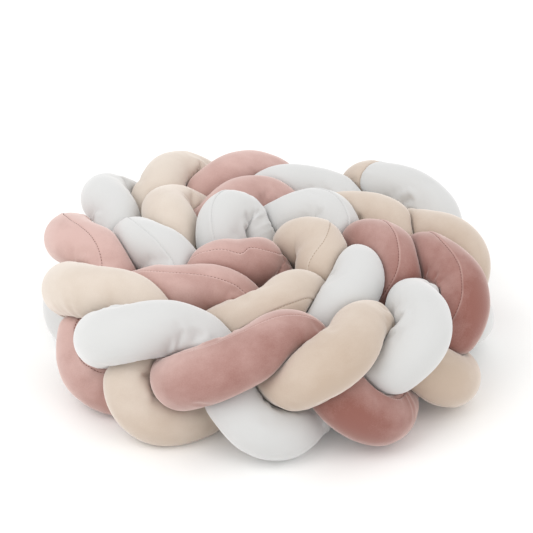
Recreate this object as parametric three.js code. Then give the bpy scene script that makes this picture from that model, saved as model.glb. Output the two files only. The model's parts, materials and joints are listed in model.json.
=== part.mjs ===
// Braided crib bumper: three long stuffed velvet tubes, plaited into one thick braid.
// The braid stands on its edge and is wound into a flat coil, as it is laid out for show.
// Millimetres, +Z up, the floor at z = 0 and the origin under the middle of the coil.
import * as THREE from 'three';

// Driving dimensions
const TUBE_DIAMETER = 60;
const TUBE_RADIUS = TUBE_DIAMETER / 2;
const SIDES_ROUND_A_TUBE = 12;
const RING_SPACING = 20;
const PIECE_GAP = 0.3;

// The braid: a strand swings in and out across it, and goes from its lower edge to its top
// edge and back over three lobes.
const SWING = 0.42 * TUBE_DIAMETER;
const LOBES_PER_TURN = 3;
const LOWER_EDGE = 31;
const PATH_STEP = 0.4 * TUBE_DIAMETER;
const ROWS_PER_STEP = 4;
const POINTS_PER_ROW = 10;

// How strands push on each other: the middles of two tubes that touch come this close
// before the stuffing pushes back, and a tube's middle stays this far above the floor.
const TOUCH = 0.83 * TUBE_DIAMETER;
const FLOOR_SINK = 0.46 * TUBE_DIAMETER;
const OWN_BEND = 1.9 * TUBE_DIAMETER;
const SETTLE_ROUNDS = 320;
const PINNED_ROUNDS = 260;
const PUSH = 0.4;
const HOLD = 0.03;
const PIN = 0.12;
const PIN_REACH = 3.2 * TUBE_DIAMETER;

// A ring of points round a tube: how finely lines are drawn, how far to look for the run of a
// tube and for neighbours, and how a tube gives way where it is pressed
const LINE_SPACING = 3;
const CONTACT_STRIDE = 2;
const DIRECTION_REACH = 8;
const CONTACT_REACH = 1.9 * TUBE_DIAMETER;
const OWN_FOLD = 0.55 * TUBE_DIAMETER;
const CONTACT_CLEARANCE = 0.8;
const BESIDE = [-0.25, 0, 0.25];
const FIRMNESS = 10;
const BULGE_ROUNDS = 3;
const MOST_BULGE = 1.16;

// The seam between the white and the cream strand, and how many rows it lies before the turn
const SEAM_BEFORE_TURN = 1.7;
const SEAM_FULLNESS = 0.93;
const SEAM_DRAW = 6;

// The middle of the coil's outline, which becomes the origin
const COIL_MIDDLE = { x: 1.34, y: 14.46 };

// Each lobe that comes over the top edge, from the inner end of the coil to the outer one:
// the middle of the tube at its highest point. The first and last rows only lead the curve
// on past the ends.
const LOBES = [
  { x: 22, y: 74, top: 150 },
  { x: -41, y: 60, top: 144 },
  { x: -19, y: -22, top: 128 },
  { x: 56, y: 5, top: 137 },
  { x: 52, y: 84, top: 140 },
  { x: -33, y: 137, top: 132 },
  { x: -117, y: 109, top: 132 },
  { x: -137, y: 18, top: 130 },
  { x: -93, y: -78, top: 124 },
  { x: 12, y: -115, top: 123 },
  { x: 98, y: -73, top: 128 },
  { x: 136, y: 0, top: 135 },
  { x: 122, y: 100, top: 132 },
  { x: 53, y: 190, top: 129 },
  { x: -43, y: 229, top: 129 },
  { x: -124, y: 229, top: 128 },
  { x: -200, y: 159, top: 128 },
  { x: -221, y: 39, top: 127 },
  { x: -181, y: -100, top: 132 },
  { x: -122, y: -178, top: 129 },
  { x: -5, y: -213, top: 125 },
  { x: 89, y: -197, top: 124 },
  { x: 169, y: -142, top: 124 },
  { x: 210, y: -39, top: 127 },
  { x: 212, y: 57, top: 124 },
  { x: 172, y: 182, top: 136 },
  { x: 100, y: 258, top: 133 },
];

// Where strands come out at the lower edge of the outermost turn, half way between two tops
const SEEN_BELOW = [
  { step: 16.5, x: -218, y: 8 },
  { step: 17.5, x: -160, y: -133 },
  { step: 18.5, x: -73, y: -172 },
  { step: 19.5, x: 36, y: -201 },
  { step: 20.5, x: 142, y: -155 },
  { step: 21.5, x: 205, y: -70 },
  { step: 22.5, x: 222, y: 68 },
];

// The strands in the order of their first lobe, and the steps over which each is plaited
const WHITE = 0;
const ROSE = 1;
const CREAM = 2;
const PLAITED = [
  { from: 0.9, to: 24.05 },
  { from: 1, to: 23.9 },
  { from: 1.75, to: 23.75 },
];

// How the three strands start in the middle of the coil: the white one arches over the first
// lobe, the rose one bends over towards the second, and the cream one rises to the third.
const INNER_ENDS = [
  [
    { x: 16, y: 48, height: 84, step: -0.7 },
    { x: 6, y: 66, height: 112, step: -0.5 },
    { x: -12, y: 80, height: 138, step: -0.25 },
    { x: -34, y: 66, height: 152, step: 0 },
    { x: -46, y: 38, height: 140, step: 0.25 },
    { x: -38, y: 22, height: 108, step: 0.5 },
  ],
  [
    { x: -68, y: -6, height: 78, step: 0.2 },
    { x: -66, y: -12, height: 108, step: 0.4 },
    { x: -52, y: -18, height: 131, step: 0.65 },
  ],
  [
    { x: 30, y: -24, height: 88, step: 1.35 },
    { x: 46, y: -30, height: 114, step: 1.55 },
  ],
];

// At the outer end the white strand runs over the top and is sewn to the cream one, which
// turns down and back under it.
const OUTER_TURN = [
  { step: 24.36, out: -8, height: 128 },
  { step: 24.52, out: -6, height: 112 },
  { step: 24.58, out: -3, height: 90 },
  { step: 24.56, out: 0, height: 66 },
  { step: 24.42, out: 2, height: 42 },
  { step: 24.12, out: 4, height: 33 },
];

// Point arithmetic on plain arrays
const add = (a, b, scale = 1) => a.map((value, i) => value + scale * b[i]);
const dot = (a, b) => a[0] * b[0] + a[1] * b[1] + a[2] * b[2];
const cross = (a, b) => [
  a[1] * b[2] - a[2] * b[1],
  a[2] * b[0] - a[0] * b[2],
  a[0] * b[1] - a[1] * b[0],
];
const distance = (a, b) => Math.hypot(a[0] - b[0], a[1] - b[1], a[2] - b[2]);
const unit = (a) => a.map((value) => value / Math.hypot(...a));
const clamp = (value, low, high) => Math.min(Math.max(value, low), high);

// A smooth curve through rows of numbers, t counting the rows
function curveThrough(rows, t) {
  const last = rows.length - 1;
  const start = clamp(Math.floor(t), 0, last - 1);
  const f = t - start;
  const b = rows[start];
  const c = rows[start + 1];
  const a = start > 0 ? rows[start - 1] : b.map((value, i) => 2 * value - c[i]);
  const d = start + 2 <= last ? rows[start + 2] : c.map((value, i) => 2 * value - b[i]);
  return b.map((value, i) => 0.5 * (2 * value + (c[i] - a[i]) * f
    + (2 * a[i] - 5 * value + 4 * c[i] - d[i]) * f * f
    + (3 * value - a[i] - 3 * c[i] + d[i]) * f * f * f));
}

// Each row moved half way to the mean of its neighbours
function eased(rows) {
  const last = rows.length - 1;
  return rows.map((row, i) => {
    if (i === 0 || i === last) return row;
    return row.map((value, j) => 0.5 * value + 0.25 * (rows[i - 1][j] + rows[i + 1][j]));
  });
}

// The line in plan that the braid follows, step by step
const LOBE_ROWS = LOBES.map(({ x, y, top }) => [x, y, top]);
const COIL_ROWS = eased(LOBE_ROWS);

function coilAt(step) {
  return curveThrough(COIL_ROWS, step + 1);
}

function outwardAt(step) {
  const ahead = coilAt(step + 0.01);
  const behind = coilAt(step - 0.01);
  return unit([ahead[1] - behind[1], behind[0] - ahead[0], 0]);
}

// A point of the coil's line moved outwards and to a height, with its step
function placed({ step, out, height }) {
  const [x, y] = add(coilAt(step), outwardAt(step), out);
  return [x, y, height, step];
}

// A strand's place in the braid at one step: how far out of the middle it is, and how high
function plaited(strand, step) {
  const phase = 2 * Math.PI * (step - strand) / LOBES_PER_TURN + Math.PI / 2;
  const top = curveThrough(LOBE_ROWS, step + 1)[2];
  const height = LOWER_EDGE + (top - LOWER_EDGE) * (0.5 + 0.5 * Math.sin(phase));
  return placed({ step, out: SWING * Math.sin(2 * phase), height });
}

// A strand from its start in the middle of the coil to the end of its plaited run
function strandRows(strand) {
  const start = INNER_ENDS[strand].map(({ x, y, height, step }) => [x, y, height, step]);
  const { from, to } = PLAITED[strand];
  const count = Math.round((to - from) * ROWS_PER_STEP);
  const run = Array.from({ length: count + 1 }, (_, i) => (
    plaited(strand, from + (to - from) * i / count)));
  return [...start, ...run];
}

// The tubes that run on without a break: white sewn end to end to cream, and rose alone
function tubeRows() {
  const white = strandRows(WHITE);
  const cream = strandRows(CREAM).reverse();
  return [
    { rows: [...white, ...OUTER_TURN.map(placed), ...cream], turnRow: white.length },
    { rows: strandRows(ROSE), turnRow: null },
  ];
}

// Lengths along a line of points, from its first point
function lengthsAlong(points) {
  const lengths = [0];
  for (let i = 1; i < points.length; i += 1) {
    lengths.push(lengths[i - 1] + distance(points[i], points[i - 1]));
  }
  return lengths;
}

// Value rows read off at a length along them
function readAt(lengths, rows, length) {
  let i = 1;
  while (i < lengths.length - 1 && lengths[i] < length) i += 1;
  const f = (length - lengths[i - 1]) / (lengths[i] - lengths[i - 1]);
  return rows[i - 1].map((value, j) => value + f * (rows[i][j] - value));
}

// A curve through rows with some points for each row
function drawnFinely(rows, perRow) {
  const count = (rows.length - 1) * perRow;
  return Array.from({ length: count + 1 }, (_, i) => curveThrough(rows, i / perRow));
}

// Evenly spaced samples of a line, each a row of x, y, z and step
function spaced(samples, spacing) {
  const lengths = lengthsAlong(samples);
  const total = lengths[lengths.length - 1];
  const count = Math.floor(total / spacing);
  return Array.from({ length: count + 1 }, (_, i) => readAt(lengths, samples, total * i / count));
}

// One tube's line before it settles, with the lengths at which white is sewn to cream and at
// which the tube turns down at the outer end
function tubeLine({ rows, turnRow }) {
  const samples = drawnFinely(rows, POINTS_PER_ROW);
  const lengths = lengthsAlong(samples);
  const lengthAt = (row) => (turnRow === null ? null : lengths[Math.round(row * POINTS_PER_ROW)]);
  return {
    samples: spaced(samples, PATH_STEP),
    turn: lengthAt(turnRow),
    seam: lengthAt(turnRow - SEAM_BEFORE_TURN),
  };
}

// Where a strand passes a step, as an index into a tube's samples
function indexAtStep(tube, strand, step) {
  const lengths = lengthsAlong(tube.samples);
  const inStrand = (i) => tube.turn === null || (lengths[i] < tube.turn) === (strand === WHITE);
  let best = -1;
  tube.samples.forEach((sample, i) => {
    if (!inStrand(i)) return;
    if (best < 0 || Math.abs(sample[3] - step) < Math.abs(tube.samples[best][3] - step)) best = i;
  });
  return best;
}

// The lobes that are held where the coil is seen to have them
function makePins(tubes) {
  const pins = [];
  const pinTo = (step, strand, place, share) => {
    const tubeIndex = strand === ROSE ? 1 : 0;
    const tube = tubes[tubeIndex];
    const middle = indexAtStep(tube, strand, step);
    const lengths = lengthsAlong(tube.samples);
    const weights = lengths.map((length) => {
      const off = Math.abs(length - lengths[middle]) / PIN_REACH;
      return off < 1 ? Math.cos(off * Math.PI / 2) ** 2 : 0;
    });
    pins.push({ tubeIndex, place, share, weights });
  };
  LOBE_ROWS.slice(1, -1).forEach((place, step) => {
    pinTo(step, step % 3, place, 1);
  });
  SEEN_BELOW.forEach(({ step, x, y }) => {
    pinTo(step, Math.round(step + 1.5) % 3, [x, y, null], 0.5);
  });
  return pins;
}

// The mean of a line's points round a pin
function pinnedPoint(points, weights) {
  const sum = [0, 0, 0];
  let total = 0;
  points.forEach((point, i) => {
    const w = weights[i] ** 6;
    total += w;
    for (let j = 0; j < 3; j += 1) sum[j] += w * point[j];
  });
  return sum.map((value) => value / total);
}

// Tubes that press on each other move apart: each point goes by its strongest contacts.
function pushApart(points, owner, along) {
  const moved = points.map((p) => [...p]);
  for (let i = 0; i < points.length; i += 1) {
    let weight = 1e-9;
    const move = [0, 0, 0];
    for (let j = 0; j < points.length; j += 1) {
      const own = owner[i] === owner[j] && Math.abs(along[i] - along[j]) < OWN_BEND;
      const gap = own ? Infinity : distance(points[i], points[j]);
      if (gap < TOUCH) {
        const squash = TOUCH - gap;
        weight += squash ** 2;
        for (let c = 0; c < 3; c += 1) {
          move[c] += squash ** 3 * (points[i][c] - points[j][c]) / gap;
        }
      }
    }
    for (let c = 0; c < 3; c += 1) moved[i][c] += PUSH * move[c] / weight;
  }
  return moved;
}

// The settled middle lines of the tubes, as rows of x, y, z and step
function settle(tubes) {
  const goals = tubes.map((tube) => tube.samples.map((sample) => sample.slice(0, 3)));
  let lines = goals.map((goal) => goal.map((point) => [...point]));
  const owner = goals.flatMap((goal, t) => goal.map(() => t));
  const along = tubes.flatMap((tube) => lengthsAlong(tube.samples));
  const pins = makePins(tubes);
  const first = goals[0].length;
  for (let round = 0; round < SETTLE_ROUNDS; round += 1) {
    const pushed = pushApart(lines.flat(), owner, along);
    lines = [pushed.slice(0, first), pushed.slice(first)].map((line, t) => {
      const shift = line.map((p, i) => add(p, goals[t][i], -1).map((v) => v * (1 - HOLD)));
      return eased(shift).map((move, i) => {
        const [x, y, z] = add(goals[t][i], move);
        return [x, y, Math.max(z, FLOOR_SINK)];
      });
    });
    if (round >= PINNED_ROUNDS) continue;
    pins.forEach(({ tubeIndex, place, share, weights }) => {
      const now = pinnedPoint(lines[tubeIndex], weights);
      const move = place.map((value, c) => (value === null ? 0 : value - now[c]));
      weights.forEach((weight, i) => {
        if (weight === 0) return;
        const scale = PIN * share * weight;
        goals[tubeIndex][i] = add(goals[tubeIndex][i], move, scale);
        lines[tubeIndex][i] = add(lines[tubeIndex][i], move, scale);
      });
    });
  }
  return lines.map((line, t) => line.map((p, i) => [...p, tubes[t].samples[i][3]]));
}

// Where rings stand along a piece of tube, and how full each is: a free end is rounded, and
// an end that is sewn to the next piece is cut square and drawn in a little by its stitches.
function ringPlaces(from, to, fromSewn, toSewn) {
  const roundEnd = [30, 60, 90].map((angle) => {
    const turned = angle * Math.PI / 180;
    return { off: TUBE_RADIUS * (1 - Math.cos(turned)), fullness: Math.sin(turned) };
  });
  const sewnEnd = [
    { off: 0, slide: PIECE_GAP / 2, fullness: SEAM_FULLNESS },
    { off: SEAM_DRAW, fullness: 1 },
  ];
  const start = fromSewn ? sewnEnd : roundEnd;
  const end = toSewn ? sewnEnd : roundEnd;
  const first = from + start[start.length - 1].off;
  const last = to - end[end.length - 1].off;
  const count = Math.round((last - first) / RING_SPACING);
  const between = Array.from({ length: count - 1 }, (_, i) => (
    { at: first + (last - first) * (i + 1) / count, fullness: 1 }));
  return [
    ...start.map(({ off, slide = 0, fullness }) => ({ at: from + off, slide, fullness })),
    ...between,
    ...end.toReversed().map(({ off, slide = 0, fullness }) => (
      { at: to - off, slide: -slide, fullness })),
  ];
}

// The middle of a ring and the two directions that its points turn through, outwards first
function ringFrame(line, lengths, at, slide = 0) {
  const total = lengths[lengths.length - 1];
  const [x, y, z, step] = readAt(lengths, line, clamp(at, 0, total));
  const ahead = readAt(lengths, line, Math.min(at + DIRECTION_REACH, total));
  const behind = readAt(lengths, line, Math.max(at - DIRECTION_REACH, 0));
  const run = unit(add(ahead.slice(0, 3), behind.slice(0, 3), -1));
  const outward = outwardAt(step);
  const side = unit(add(outward, run, -dot(outward, run)));
  return { middle: add([x, y, z], run, slide), side, other: cross(run, side) };
}

function rayAt({ side, other }, ring) {
  const turn = 2 * Math.PI * ring / SIDES_ROUND_A_TUBE;
  return add(side.map((value) => value * Math.cos(turn)), other, Math.sin(turn));
}

// How far a ray may go before it meets the plane half way to some other stretch of tube
function roomAlong(ray, nearby) {
  let room = Infinity;
  nearby.forEach((offset) => {
    const ahead = dot(ray, offset);
    if (ahead > 0) room = Math.min(room, dot(offset, offset) / (2 * ahead));
  });
  return Math.max(room - CONTACT_CLEARANCE, 1);
}

// A round tube that flattens softly where its room ends
function squeezed(radius, room) {
  return (radius ** -FIRMNESS + room ** -FIRMNESS) ** (-1 / FIRMNESS);
}

function ringPoints({ middle, rays, rooms }, radius, fullness) {
  return rays.map((ray, i) => {
    const point = add(middle, ray, squeezed(radius, rooms[i]) * fullness);
    return [point[0], point[1], Math.max(point[2], 0)];
  });
}

// The room of each point of a ring: the least of what it has itself and what the faces beside
// it have, half way to the next points and rings
function roomsRound(at, tubeIndex, line, lengths, contacts) {
  const rooms = new Array(SIDES_ROUND_A_TUBE).fill(Infinity);
  BESIDE.forEach((alongShare) => {
    const place = at + alongShare * RING_SPACING;
    const frame = ringFrame(line, lengths, place);
    const nearby = contacts.filter(({ owner, along, point }) => (
      (owner !== tubeIndex || Math.abs(along - place) > OWN_FOLD)
      && distance(point, frame.middle) < CONTACT_REACH
    )).map(({ point }) => add(point, frame.middle, -1));
    rooms.forEach((_, i) => {
      BESIDE.forEach((turnShare) => {
        rooms[i] = Math.min(rooms[i], roomAlong(rayAt(frame, i + turnShare), nearby));
      });
    });
  });
  return rooms;
}

function girth(points) {
  return points.reduce((sum, point, i) => sum + distance(point, points.at(i - 1)), 0);
}

// The rings of one piece. Cloth doesn't shrink, so a squeezed ring bulges where it is free.
function ringsOf(tubeIndex, places, lines, contacts) {
  const line = lines[tubeIndex];
  const lengths = lengthsAlong(line);
  const frames = places.map(({ at, slide }) => {
    const frame = ringFrame(line, lengths, at, slide);
    const rays = Array.from({ length: SIDES_ROUND_A_TUBE }, (_, i) => rayAt(frame, i));
    return { ...frame, rays, rooms: roomsRound(at, tubeIndex, line, lengths, contacts) };
  });
  const sides = SIDES_ROUND_A_TUBE;
  const fullGirth = 2 * sides * TUBE_RADIUS * Math.sin(Math.PI / sides);
  let bulge = frames.map(() => [1]);
  for (let round = 0; round < BULGE_ROUNDS; round += 1) {
    bulge = bulge.map(([grown], i) => {
      const now = girth(ringPoints(frames[i], TUBE_RADIUS * grown, 1));
      return [clamp(grown * fullGirth / now, 1, MOST_BULGE)];
    });
    bulge = eased(bulge);
  }
  const rings = frames.map((frame, i) => (
    ringPoints(frame, TUBE_RADIUS * bulge[i][0], places[i].fullness)));
  return { rings, firstMiddle: frames[0].middle, lastMiddle: frames.at(-1).middle };
}

// A closed skin over a row of rings, with a point in the middle of each end
function skinOver(rings, startPoint, endPoint) {
  const sides = SIDES_ROUND_A_TUBE;
  const points = [startPoint, ...rings.flat(), endPoint].map(([x, y, z]) => (
    [x - COIL_MIDDLE.x, y - COIL_MIDDLE.y, z]));
  const index = [];
  const at = (ring, side) => 1 + ring * sides + (side % sides);
  for (let side = 0; side < sides; side += 1) {
    index.push(0, at(0, side + 1), at(0, side));
    for (let ring = 0; ring < rings.length - 1; ring += 1) {
      index.push(at(ring, side), at(ring, side + 1), at(ring + 1, side + 1));
      index.push(at(ring, side), at(ring + 1, side + 1), at(ring + 1, side));
    }
    const last = rings.length - 1;
    index.push(points.length - 1, at(last, side), at(last, side + 1));
  }
  const geometry = new THREE.BufferGeometry();
  geometry.setAttribute('position', new THREE.Float32BufferAttribute(points.flat(), 3));
  geometry.setIndex(index);
  geometry.computeVertexNormals();
  return geometry;
}

// One strand of the braid as a closed solid
function strandGeometry({ tubeIndex, from, to, fromSewn, toSewn }, lines, contacts) {
  const line = lines[tubeIndex];
  const places = ringPlaces(from, to, fromSewn, toSewn);
  const { rings, firstMiddle, lastMiddle } = ringsOf(tubeIndex, places, lines, contacts);
  const startPoint = fromSewn ? firstMiddle : line[0].slice(0, 3);
  const endPoint = toSewn ? lastMiddle : line.at(-1).slice(0, 3);
  return skinOver(rings, startPoint, endPoint);
}

// How far along the settled tube its seam lies, as a share of the tube's length
function seamShare(tube, settled) {
  const before = lengthsAlong(tube.samples);
  const after = lengthsAlong(settled);
  const [length] = readAt(before, after.map((value) => [value]), tube.seam);
  return length / after.at(-1);
}

// Points along the middle lines that a ring has to keep clear of
function contactPoints(lines) {
  return lines.flatMap((line, owner) => {
    const lengths = lengthsAlong(line);
    const points = line.map((sample, i) => (
      { owner, along: lengths[i], point: sample.slice(0, 3) }));
    return points.filter((_, i) => i % CONTACT_STRIDE === 0);
  });
}

// The whole braid: each strand is a stuffed tube of velvet in its own colour.
function buildBumper() {
  const tubes = tubeRows().map(tubeLine);
  const settled = settle(tubes);
  const lines = settled.map((line) => spaced(drawnFinely(line, POINTS_PER_ROW), LINE_SPACING));
  const contacts = contactPoints(lines);
  const [pairLength, roseLength] = lines.map((line) => lengthsAlong(line).at(-1));
  const seam = pairLength * seamShare(tubes[0], settled[0]);
  const white = { tubeIndex: 0, from: 0, to: seam, fromSewn: false, toSewn: true };
  const cream = { tubeIndex: 0, from: seam, to: pairLength, fromSewn: true, toSewn: false };
  const rose = { tubeIndex: 1, from: 0, to: roseLength, fromSewn: false, toSewn: false };
  const strands = [
    { name: 'strand_white', colour: '#e9e8e5', run: white },
    { name: 'strand_cream', colour: '#e2d3bf', run: cream },
    { name: 'strand_rose', colour: '#b9857b', run: rose },
  ];
  const bumper = new THREE.Group();
  strands.forEach(({ name, colour, run }) => {
    const velvet = new THREE.MeshStandardMaterial({ color: colour, roughness: 0.9, metalness: 0 });
    const mesh = new THREE.Mesh(strandGeometry(run, lines, contacts), velvet);
    mesh.name = name;
    bumper.add(mesh);
  });
  return bumper;
}

export default buildBumper();
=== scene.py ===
"""Looks of the braided crib bumper: three stuffed velvet tubes, plaited and coiled on edge."""

import functools
import json
import math

import bpy
import mathutils
import numpy as np
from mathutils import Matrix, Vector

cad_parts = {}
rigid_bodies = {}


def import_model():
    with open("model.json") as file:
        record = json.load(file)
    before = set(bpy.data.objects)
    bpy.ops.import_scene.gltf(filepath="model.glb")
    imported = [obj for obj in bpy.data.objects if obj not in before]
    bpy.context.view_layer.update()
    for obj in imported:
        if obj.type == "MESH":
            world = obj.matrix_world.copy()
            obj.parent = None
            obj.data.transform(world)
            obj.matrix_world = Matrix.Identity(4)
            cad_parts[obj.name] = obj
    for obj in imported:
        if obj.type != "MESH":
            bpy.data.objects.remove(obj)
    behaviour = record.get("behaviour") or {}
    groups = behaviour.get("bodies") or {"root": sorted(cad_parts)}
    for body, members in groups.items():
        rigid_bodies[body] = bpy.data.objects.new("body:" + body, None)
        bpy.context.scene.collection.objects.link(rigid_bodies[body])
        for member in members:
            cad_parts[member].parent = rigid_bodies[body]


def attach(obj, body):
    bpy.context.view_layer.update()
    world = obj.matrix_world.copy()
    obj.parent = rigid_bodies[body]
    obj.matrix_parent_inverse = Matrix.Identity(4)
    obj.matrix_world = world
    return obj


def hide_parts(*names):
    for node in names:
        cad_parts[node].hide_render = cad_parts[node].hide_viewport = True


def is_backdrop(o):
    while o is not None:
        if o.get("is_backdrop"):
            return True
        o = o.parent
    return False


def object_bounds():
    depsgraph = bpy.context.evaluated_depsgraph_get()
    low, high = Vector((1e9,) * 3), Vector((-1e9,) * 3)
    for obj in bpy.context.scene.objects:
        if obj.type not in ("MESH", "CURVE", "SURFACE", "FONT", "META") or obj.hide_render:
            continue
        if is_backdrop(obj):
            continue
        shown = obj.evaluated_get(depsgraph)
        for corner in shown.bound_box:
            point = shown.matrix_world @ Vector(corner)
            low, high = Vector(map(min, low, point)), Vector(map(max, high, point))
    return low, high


bl_info = {
    "name": "Braided crib bumper",
    "version": (1, 0, 0),
    "blender": (4, 5, 0),
    "location": "View3D > Sidebar > Bumper",
    "description": "Sews, stuffs and plaits the velvet strands of a braided crib bumper",
    "category": "Object",
}

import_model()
CAD_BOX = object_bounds()

# Sizes are in millimetres, as in the part, and a mesh is written in metres.
MM = 0.001
TUBE_DIAMETER = 60
TUBE_RADIUS = TUBE_DIAMETER / 2
STRIP_WIDTH = math.pi * TUBE_DIAMETER
PIECE_GAP = 0.3

# The plait: a strand swings in and out across the braid, and goes from its lower edge to its
# top edge and back over three lobes.
SWING = 0.42 * TUBE_DIAMETER
LOBES_PER_TURN = 3
LOWER_EDGE = 31
PATH_STEP = 0.4 * TUBE_DIAMETER
ROWS_PER_STEP = 4
POINTS_PER_ROW = 10

# How strands settle against each other
TOUCH = 0.83 * TUBE_DIAMETER
FLOOR_SINK = 0.46 * TUBE_DIAMETER
OWN_BEND = 1.9 * TUBE_DIAMETER
SETTLE_ROUNDS = 320
PINNED_ROUNDS = 260
PUSH = 0.4
HOLD = 0.03
PIN = 0.12
PIN_BELOW = 0.5
PIN_FOCUS = 6
PIN_REACH = 3.2 * TUBE_DIAMETER

# How a tube's skin gives way where another tube presses on it
LINE_SPACING = 3
CONTACT_STRIDE = 2
DIRECTION_REACH = 8
CONTACT_REACH = 1.9 * TUBE_DIAMETER
OWN_FOLD = 0.55 * TUBE_DIAMETER
CONTACT_CLEARANCE = 0.3
LEAST_ROOM = 1
FIRMNESS = 10
BULGE_ROUNDS = 3
BULGE_EASINGS = 12
MOST_BULGE = 1.16

# How many rows before its turn a tube has the seam that joins the white strand to the cream one
SEAM_BEFORE_TURN = 1.7

# How a strand is closed at that seam: distances from the end, and how full the tube is there.
# The first rows make its flat face, and beyond them the seam draws the tube in softly.
SEWN_END = (
    (0, 0),
    (0, 0.3),
    (0, 0.6),
    (0, 0.84),
    (0.4, 0.93),
    (1.4, 0.955),
    (3.2, 0.985),
    (6, 1),
)

# The middle of the coil's outline, which becomes the origin
COIL_MIDDLE = (1.34, 14.46)

# Each lobe over the top edge, from the coil's inner end to its outer one: x, y and top height.
# The first and last rows only lead the curve on past the ends.
LOBES = np.array([
    (22, 74, 150),
    (-41, 60, 144),
    (-19, -22, 128),
    (56, 5, 137),
    (52, 84, 140),
    (-33, 137, 132),
    (-117, 109, 132),
    (-137, 18, 130),
    (-93, -78, 124),
    (12, -115, 123),
    (98, -73, 128),
    (136, 0, 135),
    (122, 100, 132),
    (53, 190, 129),
    (-43, 229, 129),
    (-124, 229, 128),
    (-200, 159, 128),
    (-221, 39, 127),
    (-181, -100, 132),
    (-122, -178, 129),
    (-5, -213, 125),
    (89, -197, 124),
    (169, -142, 124),
    (210, -39, 127),
    (212, 57, 124),
    (172, 182, 136),
    (100, 258, 133),
], float)

# Where strands come out at the lower edge of the outermost turn: step, x and y
SEEN_BELOW = (
    (16.5, -218, 8),
    (17.5, -160, -133),
    (18.5, -73, -172),
    (19.5, 36, -201),
    (20.5, 142, -155),
    (21.5, 205, -70),
    (22.5, 222, 68),
)

# The strands in the order of their first lobe, and the steps over which each is plaited
WHITE, ROSE, CREAM = range(3)
PLAITED = ((0.9, 24.05), (1, 23.9), (1.75, 23.75))

# How the strands start in the middle of the coil: x, y, height and step
INNER_ENDS = (
    (
        (16, 48, 84, -0.7),
        (6, 66, 112, -0.5),
        (-12, 80, 138, -0.25),
        (-34, 66, 152, 0),
        (-46, 38, 140, 0.25),
        (-38, 22, 108, 0.5),
    ),
    (
        (-68, -6, 78, 0.2),
        (-66, -12, 108, 0.4),
        (-52, -18, 131, 0.65),
    ),
    (
        (30, -24, 88, 1.35),
        (46, -30, 114, 1.55),
    ),
)

# The turn at the outer end, where white is sewn to cream: step, out and height
OUTER_TURN = (
    (24.36, -8, 128),
    (24.52, -6, 112),
    (24.58, -3, 90),
    (24.56, 0, 66),
    (24.42, 2, 42),
    (24.12, 4, 33),
)


def curve_through(rows, places):
    """Points of a smooth curve through rows, at places counted in rows"""
    start = np.clip(np.floor(places).astype(int), 0, len(rows) - 2)
    f = (places - start)[:, None]
    led = np.vstack([2 * rows[0] - rows[1], rows, 2 * rows[-1] - rows[-2]])
    a, b, c, d = (led[start + i] for i in range(4))
    linear = (c - a) * f
    square = (2 * a - 5 * b + 4 * c - d) * f**2
    cube = (3 * b - a - 3 * c + d) * f**3
    return 0.5 * (2 * b + linear + square + cube)


def eased(rows):
    """Each row moved half way to the mean of its neighbours"""
    out = rows.copy()
    out[1:-1] = 0.5 * rows[1:-1] + 0.25 * (rows[:-2] + rows[2:])
    return out


def unit(vectors):
    return vectors / np.linalg.norm(vectors, axis=-1, keepdims=True)


COIL = eased(LOBES)


def coil_at(steps):
    return curve_through(COIL, steps + 1)


def outward_at(steps):
    """The level direction out of the coil"""
    along = coil_at(steps + 0.01) - coil_at(steps - 0.01)
    return unit(np.stack([along[:, 1], -along[:, 0], np.zeros(len(along))], 1))


def placed(steps, out, height):
    """Points of the coil's line moved outwards and to a height, with their steps"""
    steps, out, height = (np.asarray(value, float) for value in (steps, out, height))
    points = coil_at(steps) + outward_at(steps) * out[:, None]
    return np.column_stack([points[:, :2], height, steps])


def strand_rows(strand):
    """A strand from its start in the middle of the coil to the end of its plaited run"""
    first, last = PLAITED[strand]
    steps = np.linspace(first, last, int((last - first) * ROWS_PER_STEP + 0.5) + 1)
    phase = 2 * math.pi * (steps - strand) / LOBES_PER_TURN + math.pi / 2
    top = curve_through(LOBES, steps + 1)[:, 2]
    height = LOWER_EDGE + (top - LOWER_EDGE) * (0.5 + 0.5 * np.sin(phase))
    run = placed(steps, SWING * np.sin(2 * phase), height)
    return np.vstack([np.array(INNER_ENDS[strand], float), run])


def tube_rows():
    """The tubes that run on without a break, and the row at which one turns down"""
    white = strand_rows(WHITE)
    turn = placed(*zip(*OUTER_TURN))
    pair = np.vstack([white, turn, strand_rows(CREAM)[::-1]])
    return (pair, len(white)), (strand_rows(ROSE), None)


def lengths_along(points):
    steps = np.linalg.norm(np.diff(points[:, :3], axis=0), axis=1)
    return np.concatenate([[0], np.cumsum(steps)])


def read_at(lengths, rows, at):
    """Value rows read off at lengths along them"""
    return np.stack([np.interp(at, lengths, column) for column in rows.T], 1)


def drawn_finely(rows):
    count = (len(rows) - 1) * POINTS_PER_ROW
    return curve_through(rows, np.arange(count + 1) / POINTS_PER_ROW)


def spaced(samples, spacing):
    """Evenly spaced samples of a line, each a row of x, y, z and step"""
    lengths = lengths_along(samples)
    count = int(lengths[-1] / spacing)
    return read_at(lengths, samples, lengths[-1] * np.arange(count + 1) / count)


def tube_line(rows, turn_row):
    """One tube's line before it settles, and the length at which it turns down"""
    samples = drawn_finely(rows)
    turn = None if turn_row is None else lengths_along(samples)[turn_row * POINTS_PER_ROW]
    return spaced(samples, PATH_STEP), turn


def join_length(rows, turn_row):
    """The length at which white is sewn to cream, before the tube settles"""
    return lengths_along(drawn_finely(rows))[round((turn_row - SEAM_BEFORE_TURN) * POINTS_PER_ROW)]


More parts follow.
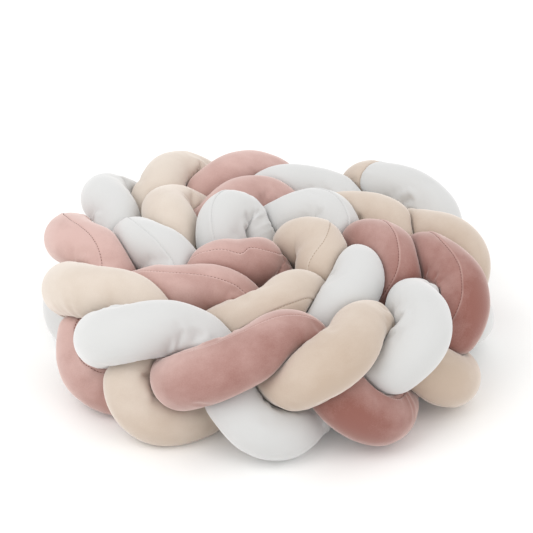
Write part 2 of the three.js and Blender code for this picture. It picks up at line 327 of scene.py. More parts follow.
def pin_weights(line, turn, strand, step):
    """How much each point of a tube's line takes part in a pin at a strand's step"""
    lengths = lengths_along(line)
    off = np.abs(line[:, 3] - step)
    if turn is not None:
        off[(lengths < turn) != (strand == WHITE)] = np.inf
    reach = np.abs(lengths - lengths[np.argmin(off)]) / PIN_REACH
    return np.where(reach < 1, np.cos(np.minimum(reach, 1) * math.pi / 2) ** 2, 0)


def make_pins(tubes):
    """The lobes that are held where the coil is seen to have them"""
    wanted = [(step, step % LOBES_PER_TURN, place, 1) for step, place in enumerate(LOBES[1:-1])]
    for step, x, y in SEEN_BELOW:
        # A strand is at the lower edge half a turn away from its lobe on top.
        strand = int(step + LOBES_PER_TURN / 2) % LOBES_PER_TURN
        wanted.append((step, strand, np.array([x, y, np.nan]), PIN_BELOW))
    pins = []
    for step, strand, place, share in wanted:
        tube = 1 if strand == ROSE else 0
        pins.append((tube, place, share, pin_weights(*tubes[tube], strand, step)))
    return pins


def push_apart(points, own):
    """Tubes that press on each other move apart: each point goes by its strongest contacts."""
    gap = np.linalg.norm(points[:, None] - points[None], axis=2)
    gap[own] = np.inf
    squash = np.maximum(TOUCH - gap, 0)
    weight = 1e-9 + (squash**2).sum(1, keepdims=True)
    pull = squash**3 / gap
    move = points * pull.sum(1, keepdims=True) - pull @ points
    return points + PUSH * move / weight


def settle(tubes):
    """The settled middle lines of the tubes, as rows of x, y, z and step"""
    goals = [line[:, :3].copy() for line, _ in tubes]
    lines = [goal.copy() for goal in goals]
    owner = np.repeat([0, 1], [len(goal) for goal in goals])
    along = np.concatenate([lengths_along(line) for line, _ in tubes])
    own = (owner[:, None] == owner) & (np.abs(along[:, None] - along) < OWN_BEND)
    pins = make_pins(tubes)
    for settling in range(SETTLE_ROUNDS):
        pushed = push_apart(np.vstack(lines), own)
        for tube, goal in enumerate(goals):
            line = goal + eased((pushed[owner == tube] - goal) * (1 - HOLD))
            line[:, 2] = np.maximum(line[:, 2], FLOOR_SINK)
            lines[tube] = line
        if settling >= PINNED_ROUNDS:
            continue
        for tube, place, share, weights in pins:
            now = np.average(lines[tube], axis=0, weights=weights**PIN_FOCUS)
            move = np.nan_to_num(place - now) * PIN * share * weights[:, None]
            goals[tube] += move
            lines[tube] += move
    return [np.column_stack([line, tube[:, 3]]) for line, (tube, _) in zip(lines, tubes)]


class Braid:
    """The settled braid: the fine middle lines of its tubes, and what they press on"""

    def __init__(self):
        tubes = [tube_line(rows, turn_row) for rows, turn_row in tube_rows()]
        settled = settle(tubes)
        self.lines = [spaced(drawn_finely(line), LINE_SPACING) for line in settled]
        self.lengths = [lengths_along(line) for line in self.lines]
        before, after = lengths_along(tubes[0][0]), lengths_along(settled[0])
        share = np.interp(join_length(*tube_rows()[0]), before, after) / after[-1]
        self.seam = share * self.lengths[0][-1]
        picks = [slice(None, None, CONTACT_STRIDE)] * 2
        self.points = np.vstack([line[pick, :3] for line, pick in zip(self.lines, picks)])
        self.along = np.concatenate([at[pick] for at, pick in zip(self.lengths, picks)])
        self.owner = np.repeat([0, 1], [len(at[pick]) for at, pick in zip(self.lengths, picks)])

    def frames(self, tube, at):
        """The middles of rings, the directions across them, outwards first, and their steps"""
        line, lengths = self.lines[tube], self.lengths[tube]
        rows = read_at(lengths, line, at)
        ahead = read_at(lengths, line, np.minimum(at + DIRECTION_REACH, lengths[-1]))
        behind = read_at(lengths, line, np.maximum(at - DIRECTION_REACH, 0))
        run = unit((ahead - behind)[:, :3])
        outward = outward_at(rows[:, 3])
        side = unit(outward - run * (outward * run).sum(1, keepdims=True))
        return rows[:, :3], side, np.cross(run, side), rows[:, 3]

    def room(self, tube, at, middle, rays):
        """How far rays from one ring's middle may go before they meet another tube's skin"""
        offsets = self.points - middle
        distance = np.linalg.norm(offsets, axis=1)
        apart = (self.owner != tube) | (np.abs(self.along - at) > OWN_FOLD)
        offsets = offsets[apart & (distance < CONTACT_REACH)]
        ahead = np.maximum(rays @ offsets.T, 1e-6)
        half_way = (offsets**2).sum(1) / (2 * ahead)
        least = half_way.min(1) if len(offsets) else np.full(len(rays), np.inf)
        return np.maximum(least - CONTACT_CLEARANCE, LEAST_ROOM)


def squeezed(radius, room):
    """A round tube that flattens softly where its room ends"""
    return (radius**-FIRMNESS + room**-FIRMNESS) ** (-1 / FIRMNESS)


# The long seam of each strand: where it lies round the tube, in degrees from the outward side
# towards the lower one, as the strand goes along: step and turn. Cream runs the other way, so
# that its turns count towards the upper side.
LONG_SEAM = (
    ((-1, 290), (6.4, 290), (8.4, 110), (26, 110)),
    ((0.4, 340), (0.7, 322), (0.78, 307), (0.92, 287), (1.02, 287), (1.2, 274), (1.8, 282),
     (4, 315), (7, 290), (10, 282), (13, 315), (16, 283), (16.9, 300), (17.6, 286), (18.4, 272),
     (19.4, 268), (20, 290), (20.8, 294), (22, 270), (25, 285)),
    ((1, 60), (2.6, 60), (4.6, -65), (6.4, -65), (7.8, 27), (8.6, 27), (10.4, -65), (25, -65)),
)

# The fineness of a strand's skin: rings along it and columns round it. The columns stand closer
# by the long seam, and these are their distances from it.
RING_SPACING = 2.7
COLUMN_SPACING = 3.1
SEAM_COLUMNS = (0, 0.7, 1.5, 2.7, 4.6)
CAP_ANGLES = (8, 20, 35, 50, 64, 77)

# The relief of the long seam: how far the cloth stands out at distances from it, on the side
# that the seam allowances are pressed to and on the other side, and how much that varies
SEAM_DISTANCES = (0, 0.7, 1.5, 2.7, 4.6, 8)
SEAM_RIDGE = (-0.7, 0.3, 0.75, 0.7, 0.35, 0)
SEAM_HOLLOW = (-0.7, -0.45, -0.2, -0.05, 0, 0)
SEAM_PUCKER = 0.35
PUCKER_SPACING = 13

# The gathers beside the seam that joins two strands: how many go round the tube in each of
# their waves, how deep they are, the share of that by which they draw the cloth in, how far
# from the seam they are deepest, and how far they reach from there
GATHERS = (11, 17, 24, 33)
GATHER_DEPTH = 0.9
GATHER_DRAW = 0.3
GATHER_PLACE = 3
GATHER_REACH = 11
GATHER_SEED = 5

# The folds that the plaiting pulls into the cloth: strand, step, how many steps they reach,
# turn, how many degrees they reach, spacing, depth, and how far they lean with the turn
PULLED_FOLDS = (
    (WHITE, -0.3, 0.3, 205, 75, 6.5, 2, 0),
    (ROSE, 17.3, 0.18, 305, 50, 12, 3, 3),
    (ROSE, 20.3, 0.15, 290, 45, 11, 2.4, 3),
    (CREAM, 16.8, 0.2, 325, 40, 11, 1.8, 0),
    (CREAM, 19.4, 0.1, 345, 25, 9, 1.4, 0),
)

# How far the creases between those folds go in, as a share of the folds' depth
FOLD_DRAW = 0.35

# The simulated copy of a strand's skin, and how its cloth behaves
CLOTH_SPACING = 6.5
CLOTH_COLUMNS = 32
CLOTH_FRAMES = 20
CLOTH_QUALITY = 6
CLOTH_STIFFNESS = 15
CLOTH_BENDING = 2
CLOTH_MASS = 0.01
CLOTH_HOLD = 0.2

# Cloth is to spare where rings stand closer together than this share of their way along the
# tube's line, and it is longer by the second share at most. Steps under the least are left out.
SPARE_CLOTH = 0.9
MOST_SPARE = 0.08
LEAST_STEP = 0.5
SPARE_EASINGS = 2

# The ends of a strand keep their shape over this length
END_KEPT = 24


class Strand:
    """One strand: its name, its number in the plait, the tube it is part of, its stretch of that
    tube, and which of its ends are sewn to another strand"""

    def __init__(self, name, number, tube, span, sewn):
        self.name = name
        self.number = number
        self.tube = tube
        self.span = span
        self.sewn = sewn


def end_rings(sewn, sign, end):
    """Where rings stand at one end of a strand, going in from the end, and how full each is.
    A free end is domed, and a sewn end is flat, with its edge drawn in by the stitches."""
    if sewn:
        rows = [(PIECE_GAP / 2 + off, full) for off, full in SEWN_END]
    else:
        turns = [math.radians(angle) for angle in CAP_ANGLES]
        rows = [(0, 0)] + [(TUBE_RADIUS * (1 - math.cos(t)), math.sin(t)) for t in turns]
        rows.append((TUBE_RADIUS, 1))
    return [(end + sign * off, full) for off, full in rows]


def ring_places(strand, spacing):
    """Where the rings of a strand stand along its tube, and how full each is"""
    first, last = strand.span
    start = end_rings(strand.sewn[0], 1, first)
    finish = end_rings(strand.sewn[1], -1, last)[::-1]
    run = finish[0][0] - start[-1][0]
    between = np.linspace(start[-1][0], finish[0][0], int(run / spacing) + 1)[1:-1]
    rows = start + [(at, 1) for at in between] + finish
    return np.array([row[0] for row in rows]), np.array([row[1] for row in rows])


def fine_columns():
    """Where the columns of a strip lie across it, from 0 at one long edge to 1 at the other"""
    edge = np.array(SEAM_COLUMNS) / STRIP_WIDTH
    count = round((1 - 2 * edge[-1]) * STRIP_WIDTH / COLUMN_SPACING)
    between = np.linspace(edge[-1], 1 - edge[-1], count + 1)[1:-1]
    return np.concatenate([edge, between, 1 - edge[::-1]])


def girths(points):
    return np.linalg.norm(points - np.roll(points, 1, axis=1), axis=2).sum(1)


# The waves that are mixed into uneven ones: their lengths, as shares of the period
WAVE_SHARES = (0.7, 1, 1.45, 2.1)


def waves(places, period, seed):
    """Smooth uneven waves from -1 to 1, about so many millimetres from crest to crest"""
    random = np.random.default_rng(seed)
    total = np.zeros(np.shape(places))
    for share in WAVE_SHARES:
        wave = np.sin(2 * math.pi * (places / (period * share) + random.random()))
        total += wave / len(WAVE_SHARES)
    return total


class Skin:
    """The stuffed skin of a strand: points in rings along it and in columns round it"""

    def __init__(self, braid, strand, spacing, columns):
        self.braid = braid
        self.strand = strand
        self.columns = columns
        self.at, self.fullness = ring_places(strand, spacing)
        self.middles, side, other, self.steps = braid.frames(strand.tube, self.at)
        seam = np.radians(np.interp(self.steps, *zip(*LONG_SEAM[strand.number])))
        self.turns = seam[:, None] + 2 * math.pi * columns
        level, down = np.cos(self.turns)[..., None], np.sin(self.turns)[..., None]
        self.rays = level * side[:, None] + down * other[:, None]
        self.points = self.stuffed(self.rooms(self.rays))

    def rooms(self, rays):
        """How far each ray of each ring may go before it meets another skin"""
        rings = zip(self.at, self.middles, rays)
        return np.stack([self.braid.room(self.strand.tube, *ring) for ring in rings])

    def out_to(self, reach):
        points = self.middles[:, None] + self.rays * reach[..., None]
        points[..., 2] = np.maximum(points[..., 2], 0)
        return points

    def stuffed(self, room):
        """A ring that is pressed flat on one side stands out further on the others, because
        its cloth keeps its girth."""
        bulge = np.ones((len(self.at), 1))
        for _ in range(BULGE_ROUNDS):
            points = self.out_to(squeezed(TUBE_RADIUS * bulge, room))
            grow = STRIP_WIDTH / girths(points)[:, None]
            bulge = np.clip(bulge * grow, 1, MOST_BULGE)
            for _ in range(BULGE_EASINGS):
                bulge = eased(bulge)
        return self.out_to(squeezed(TUBE_RADIUS * bulge, room) * self.fullness[:, None])

    def lift(self, heights):
        """Moves the points out of the tube, and less near a closed end"""
        self.points = self.points + self.rays * (heights * self.fullness[:, None])[..., None]

    def sew_long_seam(self, depth, seed):
        """Draws the cloth in along the long seam. The seam allowances under it make it stand up
        beside the seam, on the side that they are pressed to, and it puckers at the stitches."""
        off = self.columns * STRIP_WIDTH
        pressed = np.interp(off, SEAM_DISTANCES, SEAM_RIDGE, right=0)
        hollow = np.interp(STRIP_WIDTH - off, SEAM_DISTANCES, SEAM_HOLLOW, right=0)
        relief = (pressed + hollow) / abs(SEAM_RIDGE[0]) * depth
        puckers = SEAM_PUCKER * waves(self.at, PUCKER_SPACING, seed)[:, None]
        self.lift(relief * (1 + puckers))

    def gather_sewn_ends(self, seed):
        """The small gathers that the stitches of a sewn end pull into the cloth beside it: they
        run along the tube and die out after some millimetres."""
        for sewn, end in zip(self.strand.sewn, self.strand.span):
            if sewn:
                away = np.abs(self.at - end) - GATHER_PLACE
                fade = np.exp(-(away / GATHER_REACH) ** 2)[:, None]
                turns = 2 * math.pi * self.columns
                starts = np.random.default_rng(seed).random(len(GATHERS)) * 2 * math.pi
                gathers = [np.sin(count * turns + at) for count, at in zip(GATHERS, starts)]
                self.lift(GATHER_DEPTH * (np.mean(gathers, 0) - GATHER_DRAW) * fade)

    def pull_folds(self):
        """The folds that the plaiting pulls into the cloth, across the tube. A wave makes two
        folds, because its crests and its troughs both stand out."""
        for number, step, steps, turn, degrees, spacing, depth, lean in PULLED_FOLDS:
            if number != self.strand.number:
                continue
            away = np.abs((self.turns - math.radians(turn) + math.pi) % (2 * math.pi) - math.pi)
            leaning = waves(self.at[:, None] + lean * away, 2 * spacing, number)
            fade = np.exp(-((self.steps - step) / steps) ** 2)[:, None]
            fade = fade * np.exp(-(away / math.radians(degrees)) ** 2)
            self.lift(depth * (np.abs(leaning) - FOLD_DRAW) * fade)

    def keep_apart(self):
        """Holds points back where they would come too near another skin or go below the floor"""
        offsets = self.points - self.middles[:, None]
        reach = np.linalg.norm(offsets, axis=2, keepdims=True)
        rays = offsets / np.maximum(reach, 0.001)
        room = self.rooms(rays)[..., None]
        self.points = self.middles[:, None] + rays * np.minimum(reach, room)
        self.points[..., 2] = np.maximum(self.points[..., 2], 0)


def only(piece):
    """Selects one object and nothing else"""
    if bpy.context.object and bpy.context.object.mode != "OBJECT":
        bpy.ops.object.mode_set(mode="OBJECT")
    bpy.ops.object.select_all(action="DESELECT")
    if piece:
        piece.select_set(True)
        bpy.context.view_layer.objects.active = piece


def named(name):
    """Names the object that was just added"""
    piece = bpy.context.object
    piece.name = name
    if piece.data:
        piece.data.name = name
    return piece


def vertex_values(mesh, values, name, width=1):
    found = np.zeros(width * len(mesh.vertices))
    values.foreach_get(name, found)
    return found.reshape(-1, width)


def add_attribute(mesh, name, kind, values):
    mesh.attributes.new(name, kind, "POINT").data.foreach_set("value", values)


def check_closed(piece):
    """Raises an error where an edge doesn't join two faces"""
    edges = np.zeros(len(piece.data.loops), int)
    piece.data.loops.foreach_get("edge_index", edges)
    open_edges = np.count_nonzero(np.bincount(edges) != 2)
    if open_edges:
        raise RuntimeError(f"{piece.name} has {open_edges} open edges")


def rolled_strip(name, skin):
    """A flat strip of velvet, made as a grid with one row for each ring, rolled into the shape
    of a skin and sewn up along its edges. Its UV is in metres of cloth."""
    rings, columns = skin.points.shape[:2]
    only(None)
    bpy.ops.mesh.primitive_grid_add(x_subdivisions=columns - 1, y_subdivisions=rings - 1, size=1)
    strip = named(name)
    mesh = strip.data
    points = (skin.points - [*COIL_MIDDLE, 0]) * MM
    mesh.vertices.foreach_set("co", points.reshape(-1))
    loops = np.zeros(len(mesh.loops), int)
    mesh.loops.foreach_get("vertex_index", loops)
    ring, column = np.divmod(loops, columns)
    uv = np.stack([skin.columns[column] * STRIP_WIDTH, skin.at[ring]], 1) * MM
    mesh.uv_layers[0].data.foreach_set("uv", uv.reshape(-1))
    add_attribute(mesh, "place", "INT", np.arange(rings * columns))
    # Painted light and shade: the velvet is drawn paler towards the back left of the coil and on
    # the tops of the tubes, and deeper towards the front right and on the sides.
    tone_shift = PAINTED_LIGHT_AT_MIDDLE + points @ PAINTED_LIGHT_CHANGE + skin.rays[..., 2] * PAINTED_LIGHT_ON_TOP
    painted_light = np.clip(tone_shift, 0, 1)
    add_attribute(mesh, "painted_light", "FLOAT", painted_light.reshape(-1))
    only(strip)
    bpy.ops.object.mode_set(mode="EDIT")
    bpy.ops.mesh.select_all(action="SELECT")
    bpy.ops.mesh.remove_doubles(threshold=0.00001)
    bpy.ops.mesh.normals_make_consistent(inside=False)
    bpy.ops.object.mode_set(mode="OBJECT")
    bpy.ops.object.shade_smooth()
    check_closed(strip)
    return strip


def rings_and_columns(mesh, columns):
    """The ring and column of each vertex of a sewn strip"""
    place = vertex_values(mesh, mesh.attributes["place"].data, "value")[:, 0].astype(int)
    return np.divmod(place, columns)


def spare_cloth(skin):
    """How much longer the cloth is at each point than its way along the tube, as a share: there
    is some to spare on the inner side of each bend."""
    steps = np.linalg.norm(np.diff(skin.points, axis=0), axis=2)
    straight = np.diff(skin.at)[:, None] * SPARE_CLOTH
    spare = straight / np.maximum(steps, LEAST_STEP) - 1
    spare[steps <= LEAST_STEP] = 0
    spare = np.vstack([spare[:1], spare])
    for _ in range(SPARE_EASINGS):
        spare = eased(spare)
    return np.clip(spare, 0, MOST_SPARE)


def add_stuffing(pad, spare, pressure):
    """Cloth that is blown up softly, held loosely in place, and longer where it is to spare"""
    held = pad.vertex_groups.new(name="held")
    held.add(list(range(len(spare))), CLOTH_HOLD, "REPLACE")
    tight = pad.vertex_groups.new(name="tight")
    for vertex, share in enumerate(spare):
        tight.add([vertex], 1 - share / MOST_SPARE, "REPLACE")
    cloth = pad.modifiers.new("stuffing", "CLOTH")
    cloth.point_cache.frame_start = 1
    cloth.point_cache.frame_end = CLOTH_FRAMES
    settings = cloth.settings
    settings.quality = CLOTH_QUALITY
    settings.mass = CLOTH_MASS
    settings.tension_stiffness = CLOTH_STIFFNESS
    settings.compression_stiffness = CLOTH_STIFFNESS
    settings.shear_stiffness = CLOTH_STIFFNESS / 3
    settings.bending_stiffness = CLOTH_BENDING
    settings.use_pressure = True
    settings.uniform_pressure_force = pressure
    settings.effector_weights.gravity = 0
    settings.vertex_group_mass = "held"
    settings.pin_stiffness = 1
    settings.vertex_group_shrink = "tight"
    settings.shrink_max = 0
    settings.shrink_min = -MOST_SPARE


def simulated_moves(braid, strand, pressure, cap):
    """How the cloth of a strand moves when it is stuffed. A coarse copy of its skin is blown up
    as cloth, and its moves are read off and capped."""
    skin = Skin(braid, strand, CLOTH_SPACING, np.linspace(0, 1, CLOTH_COLUMNS + 1))
    pad = rolled_strip("stuffed_copy", skin)
    ring, column = rings_and_columns(pad.data, CLOTH_COLUMNS + 1)
    before = vertex_values(pad.data, pad.data.vertices, "co", 3)
    add_stuffing(pad, spare_cloth(skin)[ring, column], pressure)
    for step in range(1, CLOTH_FRAMES + 1):
        bpy.context.scene.frame_set(step)
    only(pad)
    bpy.ops.object.modifier_apply(modifier="stuffing")
    moved = (vertex_values(pad.data, pad.data.vertices, "co", 3) - before) / MM
    bpy.context.scene.frame_set(1)
    bpy.data.objects.remove(pad)
    moves = np.zeros(skin.points.shape)
    for same in (column % CLOTH_COLUMNS, (column - 1) % CLOTH_COLUMNS + 1):
        moves[ring, same] = moved
    moves -= moves[:, :-1].mean(1, keepdims=True)
    moves *= np.minimum(1, cap / np.maximum(np.linalg.norm(moves, axis=2, keepdims=True), 0.001))
    inside = np.minimum(skin.at - skin.at[0], skin.at[-1] - skin.at)
    return skin, moves * np.clip(inside / END_KEPT, 0, 1)[:, None, None]


def read_off(moves, coarse, fine):
    """The moves of a coarse skin's points, read off at each point of a fine one"""
    along = np.interp(fine.at, coarse.at, np.arange(len(coarse.at)))
    rows = curve_through(moves.reshape(len(moves), -1), along).reshape(len(along), -1, 3)
    wrapped = np.concatenate([rows[:, -3:-1], rows, rows[:, 1:3]], 1).swapaxes(0, 1)
    places = 2 + fine.columns * CLOTH_COLUMNS
    read = curve_through(wrapped.reshape(len(wrapped), -1), places)
    return read.reshape(len(places), len(along), 3).swapaxes(0, 1)


def linear(colour):
    """An sRGB hex colour as linear red, green and blue"""
    shares = [int(colour[i:i + 2], 16) / 255 for i in (0, 2, 4)]
    return tuple(s / 12.92 if s <= 0.04045 else ((s + 0.055) / 1.055) ** 2.4 for s in shares)


def add(tree, kind, values=(), links=(), **settings):
    """Adds a node to a tree with its settings, the values of its sockets, and what feeds them"""
    new = tree.nodes.new(kind)
    for name, value in settings.items():
        setattr(new, name, value)
    for socket, value in dict(values).items():
        new.inputs[socket].default_value = value
    for socket, source in dict(links).items():
        tree.links.new(source, new.inputs[socket])
    return new


def across(mm):
    """The scale of a pattern whose marks are so many millimetres across"""
    return 1 / (mm * MM)


def empty_material(name):
    material = bpy.data.materials.new(name)
    material.use_nodes = True
    material.node_tree.nodes.clear()
    return material


# Painted light and shade on the velvet, from 0 where it is drawn deep, as in shade, to 1 where it
# is drawn pale, as in light: at the middle of the coil, how it changes for each metre, and how
# much paler the top of a tube is painted than its sides. The coil is painted paler towards its
# back left.
PAINTED_LIGHT_AT_MIDDLE = 0.33
PAINTED_LIGHT_CHANGE = np.array([-1.7, 0.7, 0.6])
PAINTED_LIGHT_ON_TOP = 0.24

# The velvet's marks: how wide they are where hands stroked it, how wide and deep the tufts of
# its pile are. The tufts of a velvet like this are taken as 0.3 mm wide, which is too fine to
# show in the render, so they are drawn four times as coarse.
HAND_MARKS = 45
PILE_TUFTS = 1.2
PILE_DEPTH = 0.5

# Beside the long seam the cloth stands up on the seam allowances, and a painted highlight makes
# that
# ridge paler: in full as far as the first distance from the seam, and fading out as far as the
# second
RIDGE_FULL = 0.6
RIDGE_END = 2.8

# How much paler the painted highlight makes that ridge, and how much the nap changes in the marks
# of hands and from tuft to tuft
PAINTED_HIGHLIGHT_ON_RIDGE = 0.3
NAP_OF_HANDS = 0.2
NAP_OF_TUFTS = 0.12

# The tint of each velvet's sheen
SHEENS = {"white": "F4F4F4", "cream": "F6F0EA", "rose": "F3E4DF"}

# The places of the colours among the sockets of a Mix node
MIX_COLOUR_A = 6
MIX_COLOUR_B = 7
MIX_COLOUR_OUT = 2


def velvet(name, deep, pale, sheen):
    """Woven velvet with a short cut pile. Painted light and shade mix it from its deep colour to
    its pale one, and a painted highlight makes the ridge beside the seam paler. It shines softly
    at grazing angles. Marks of hands go over it, and the tips of the pile make a fine grain."""
    material = empty_material(name)
    tree = material.node_tree
    cloth = add(tree, "ShaderNodeTexCoord").outputs["UV"]
    painted_light = add(tree, "ShaderNodeAttribute", attribute_name="painted_light").outputs["Fac"]
    hands = add(tree, "ShaderNodeTexNoise",
                {"Scale": across(HAND_MARKS), "Detail": 4, "Roughness": 0.6}, {"Vector": cloth})
    pile = add(tree, "ShaderNodeTexNoise",
               {"Scale": across(PILE_TUFTS), "Detail": 2}, {"Vector": cloth})
    width = add(tree, "ShaderNodeSeparateXYZ", (), {"Vector": cloth}).outputs["X"]
    # The painted highlight on the ridge beside the seam
    ridge = add(tree, "ShaderNodeMapRange",
                {"From Min": RIDGE_FULL * MM, "From Max": RIDGE_END * MM,
                 "To Min": PAINTED_HIGHLIGHT_ON_RIDGE, "To Max": 0},
                {"Value": width}, interpolation_type="SMOOTHSTEP")
    tone_shift = add(tree, "ShaderNodeMapRange",
                  {"From Min": 0.3, "From Max": 0.7,
                   "To Min": -NAP_OF_HANDS, "To Max": NAP_OF_HANDS},
                  {"Value": hands.outputs["Fac"]})
    grain = add(tree, "ShaderNodeMapRange", {"To Min": -NAP_OF_TUFTS, "To Max": NAP_OF_TUFTS},
                {"Value": pile.outputs["Fac"]})
    # The tone starts from the painted light and shade, then takes the painted highlight on the
    # ridge, the marks of hands and the grain of the tufts.
    tone = painted_light
    for part in (ridge, tone_shift, grain):
        tone = add(tree, "ShaderNodeMath", (), {0: tone, 1: part.outputs["Result"]},
                   use_clamp=part is grain).outputs["Value"]
    colour = add(tree, "ShaderNodeMix", {MIX_COLOUR_A: deep, MIX_COLOUR_B: pale}, {"Factor": tone},
                 data_type="RGBA")
    bump = add(tree, "ShaderNodeBump", {"Strength": 0.3, "Distance": PILE_DEPTH * MM},
               {"Height": pile.outputs["Fac"]})
    surface = add(tree, "ShaderNodeBsdfPrincipled",
                  {"Roughness": 0.9, "Specular IOR Level": 0.1, "Sheen Weight": 1,
                   "Sheen Roughness": 0.45, "Sheen Tint": sheen},
                  {"Base Color": colour.outputs[MIX_COLOUR_OUT], "Normal": bump.outputs["Normal"]})
    add(tree, "ShaderNodeOutputMaterial", (), {"Surface": surface.outputs["BSDF"]})
    return material


def plain(name, colour, roughness, shine, glow=0):
    """An even surface: polyester thread with a low shine, or a lit board with matt paint"""
    material = empty_material(name)
    tree = material.node_tree
    surface = add(tree, "ShaderNodeBsdfPrincipled",
                  {"Base Color": colour, "Roughness": roughness, "Specular IOR Level": shine,
                   "Emission Color": colour, "Emission Strength": glow})
    add(tree, "ShaderNodeOutputMaterial", (), {"Surface": surface.outputs["BSDF"]})
    return material


@functools.cache
def settled_braid():
    return Braid()


def strands():
    braid = settled_braid()
    return (
        Strand("white", WHITE, 0, (0, braid.seam), (False, True)),
        Strand("cream", CREAM, 0, (braid.seam, braid.lengths[0][-1]), (True, False)),
        Strand("rose", ROSE, 1, (0, braid.lengths[1][-1]), (False, False)),
    )


def colour_setting(name, description, colour):
    return bpy.props.FloatVectorProperty(
        name=name, description=description, default=linear(colour), subtype="COLOR", min=0, max=1)


def length_setting(name, description, mm):
    return bpy.props.FloatProperty(
        name=name, description=description, default=mm * MM, min=0, subtype="DISTANCE",
        unit="LENGTH", precision=4)


class BumperColours(bpy.types.PropertyGroup):
    """Colours of the velvets, deep and pale, between which painted light and shade, marks of hands
    and a grain of tufts mix each velvet, and of the threads they are sewn with"""
    # Each velvet's deep colour is its painted shade, and its pale colour is its painted light.
    white_deep: colour_setting("White, deep", "White velvet with its nap flat", "CBCBCA")
    white_pale: colour_setting("White, pale", "White velvet with its nap up", "D0D0CF")
    white_thread: colour_setting("White thread", "Thread of the white strand", "C9C9C7")
    cream_deep: colour_setting("Cream, deep", "Cream velvet with its nap flat", "BCA998")
    cream_pale: colour_setting("Cream, pale", "Cream velvet with its nap up", "D6CABE")
    cream_thread: colour_setting("Cream thread", "Thread of the cream strand", "AD9780")
    rose_deep: colour_setting("Rose, deep", "Rose velvet with its nap flat", "8C5D54")
    rose_pale: colour_setting("Rose, pale", "Rose velvet with its nap up", "CDADA6")
    rose_thread: colour_setting("Rose thread", "Thread of the rose strand", "6C3F36")


class BumperSizes(bpy.types.PropertyGroup):
    """Sizes of the stuffing and the sewing"""
    pressure: bpy.props.FloatProperty(
        name="Stuffing", description="Pressure of the stuffing on the cloth", default=8, min=0)
    most_move: length_setting("Most swelling", "How far the stuffing may move the cloth", 3)
    seam_depth: length_setting("Seam depth", "How far the long seam draws the cloth in", 0.7)
    stitch_length: length_setting("Stitch length", "Length of one stitch", 2.6)
    stitch_spacing: length_setting("Stitch spacing", "Way from one stitch to the next", 4)
    thread_radius: length_setting("Thread radius", "Half the thickness of the thread", 0.4)


def declare(piece):
    """Lets a piece ride with the bumper"""
    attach(piece, "root")


class SewStrands(bpy.types.Operator):
    """Rolls, stuffs and plaits the three velvet strands"""
    bl_idname = "bumper.sew_strands"
    bl_label = "Velvet strands"

    def execute(self, context):
        sizes = context.scene.bumper_sizes
        for strand in strands():
            skin = Skin(settled_braid(), strand, RING_SPACING, fine_columns())
            coarse, moves = simulated_moves(
                settled_braid(), strand, sizes.pressure, sizes.most_move / MM)
            skin.points = skin.points + read_off(moves, coarse, skin)
            skin.pull_folds()
            skin.gather_sewn_ends(GATHER_SEED + strand.number)
            skin.sew_long_seam(sizes.seam_depth / MM, strand.number)
            skin.keep_apart()
            piece = rolled_strip("velvet_" + strand.name, skin)
            self.dress(context, piece, strand)
            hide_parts("strand_" + strand.name)
        return {"FINISHED"}

    def dress(self, context, piece, strand):
        colours = context.scene.bumper_colours
        deep, pale = (getattr(colours, strand.name + tone) for tone in ("_deep", "_pale"))
        sheen = (*linear(SHEENS[strand.name]), 1)
        piece.data.materials.append(velvet(piece.name, (*deep, 1), (*pale, 1), sheen))
        declare(piece)


# Stitches lie a little out of the seam, and the first and last ones are left out, at the poles.
# A stitch is too small to show more faces than these.
STITCH_RAISE = 0.2
SEAM_END_RINGS = 8
STITCH_SIDES = 8
STITCH_RINGS = 5


def long_seam(piece):
    """The points of a strand's long seam from end to end, and the directions out of the cloth"""
    columns = len(fine_columns())
    ring, column = rings_and_columns(piece.data, columns)
    seam = np.flatnonzero(column % (columns - 1) == 0)
    seam = seam[np.argsort(ring[seam])][SEAM_END_RINGS:-SEAM_END_RINGS]
    places = vertex_values(piece.data, piece.data.vertices, "co", 3) / MM
    outs = vertex_values(piece.data, piece.data.vertex_normals, "vector", 3)
    return places[seam], unit(outs[seam])


def stitch_frames(places, outs, spacing, length):
    """The middle and the three directions of each stitch along a seam"""
    lengths = lengths_along(places)
    at = spacing * (np.arange(int(lengths[-1] / spacing)) + 0.5)
    ahead = read_at(lengths, places, at + length / 2)
    run = unit(ahead - read_at(lengths, places, at - length / 2))
    out = read_at(lengths, outs, at)
    out = unit(out - run * (out * run).sum(1, keepdims=True))
    middles = read_at(lengths, places, at) + out * STITCH_RAISE
    return middles, np.stack([np.cross(out, run), out, run], 1)


class StitchSeams(bpy.types.Operator):
    """Sews the long seams: one stitch is modelled, and the others repeat it along the seam"""
    bl_idname = "bumper.stitch_seams"
    bl_label = "Seam stitches"

    def execute(self, context):
        sizes = context.scene.bumper_sizes
        colours = context.scene.bumper_colours
        length, radius = sizes.stitch_length / MM, sizes.thread_radius / MM
        for strand in strands():
            cloth = bpy.data.objects["velvet_" + strand.name]
            middles, axes = stitch_frames(*long_seam(cloth), sizes.stitch_spacing / MM, length)
            only(None)
            bpy.ops.mesh.primitive_uv_sphere_add(
                segments=STITCH_SIDES, ring_count=STITCH_RINGS, radius=1)
            thread = named("stitches_" + strand.name)
            stitch = vertex_values(thread.data, thread.data.vertices, "co", 3)
            repeat = thread.modifiers.new("repeat", "ARRAY")
            repeat.count = len(middles)
            bpy.ops.object.modifier_apply(modifier="repeat")
            shape = stitch * [radius, radius, length / 2]
            sewn = middles[:, None] + np.einsum("vk,nkx->nvx", shape, axes)
            sewn[..., 2] = np.maximum(sewn[..., 2], 0)
            thread.data.vertices.foreach_set("co", (sewn * MM).reshape(-1))
            thread.data.update()
            only(thread)
            bpy.ops.object.shade_smooth()
            colour = (*getattr(colours, strand.name + "_thread"), 1)
            polyester = plain("thread_" + strand.name, colour, roughness=0.6, shine=0.3)
            thread.data.materials.append(polyester)
            declare(thread)
        return {"FINISHED"}


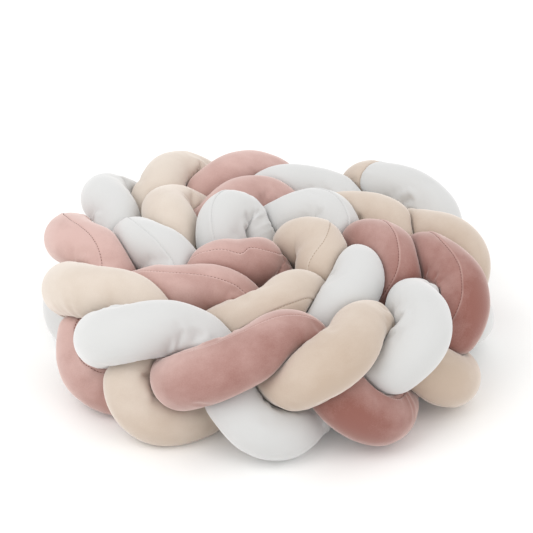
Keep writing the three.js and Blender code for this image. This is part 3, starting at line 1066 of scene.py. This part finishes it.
# The studio's lights: name, place and size in metres, and power in watts
STUDIO_LIGHTS = (
    ("key_light", (-1.6, -1.5, 2.6), 1.8, 28),
    ("fill_light", (2.2, -1.6, 1.8), 2.2, 10),
)
LIT_PLACE = (0, 0, 0.08)
SKY_STRENGTH = 0.98

# The camera stands 1.7 m in front of the bumper and 1 m up, and looks down at it.
CAMERA_PLACE = (-0.00134, -1.71594, 0.9847)
CAMERA_TURN = (math.radians(63.1), 0, 0)
CAMERA_LENS = 107.53

# The floor is a wide pale board. A slight glow keeps it near the white of the photo's ground.
FLOOR_SIZE = 12
FLOOR_COLOUR = (*linear("F9F9F8"), 1)
FLOOR_GLOW = 0.07


class SetStage(bpy.types.Operator):
    """Puts a pale floor, soft studio light and the camera round the bumper"""
    bl_idname = "bumper.set_stage"
    bl_label = "Floor, light and camera"

    def execute(self, context):
        only(None)
        bpy.ops.mesh.primitive_plane_add(size=FLOOR_SIZE)
        floor = named("floor")
        board = plain("pale_matt_board", FLOOR_COLOUR, roughness=0.9, shine=0.1, glow=FLOOR_GLOW)
        floor.data.materials.append(board)
        floor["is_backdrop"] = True
        for name, place, size, power in STUDIO_LIGHTS:
            only(None)
            bpy.ops.object.light_add(type="AREA", location=place)
            light = named(name)
            light.data.size = size
            light.data.energy = power
            aim = mathutils.Vector(LIT_PLACE) - light.location
            light.rotation_euler = aim.to_track_quat("-Z", "Y").to_euler()
        self.light_sky(context)
        only(None)
        bpy.ops.object.camera_add(location=CAMERA_PLACE, rotation=CAMERA_TURN)
        camera = named("camera")
        camera.data.lens = CAMERA_LENS
        context.scene.camera = camera
        context.scene.view_settings.view_transform = "Standard"
        return {"FINISHED"}

    def light_sky(self, context):
        """The white walls and ceiling of the studio"""
        world = bpy.data.worlds.new("studio")
        context.scene.world = world
        world.use_nodes = True
        sky = world.node_tree.nodes["Background"]
        sky.inputs["Color"].default_value = (1, 1, 1, 1)
        sky.inputs["Strength"].default_value = SKY_STRENGTH


class BumperPanel(bpy.types.Panel):
    """The sizes, the colours and the pieces of the bumper"""
    bl_idname = "VIEW3D_PT_bumper"
    bl_label = "Braided crib bumper"
    bl_space_type = "VIEW_3D"
    bl_region_type = "UI"
    bl_category = "Bumper"

    def draw(self, context):
        scene = context.scene
        settings = ((BumperSizes, scene.bumper_sizes), (BumperColours, scene.bumper_colours))
        for kind, values in settings:
            box = self.layout.box()
            for name in kind.__annotations__:
                box.prop(values, name)
        for operator in OPERATORS:
            self.layout.operator(operator.bl_idname)


OPERATORS = (SewStrands, StitchSeams, SetStage)
CLASSES = (BumperColours, BumperSizes, *OPERATORS, BumperPanel)


def register():
    for kind in CLASSES:
        bpy.utils.register_class(kind)
    bpy.types.Scene.bumper_colours = bpy.props.PointerProperty(type=BumperColours)
    bpy.types.Scene.bumper_sizes = bpy.props.PointerProperty(type=BumperSizes)


def unregister():
    del bpy.types.Scene.bumper_sizes
    del bpy.types.Scene.bumper_colours
    for kind in reversed(CLASSES):
        bpy.utils.unregister_class(kind)


def write_sizes():
    """Works out the box of the part before and after it was dressed"""
    boxes = {"cad": CAD_BOX, "visual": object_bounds()}
    boxes = {name: [list(corner) for corner in box] for name, box in boxes.items()}


def main():
    register()
    bpy.ops.bumper.sew_strands()
    bpy.ops.bumper.stitch_seams()
    bpy.ops.bumper.set_stage()
    write_sizes()


if __name__ == "__main__":
    main()
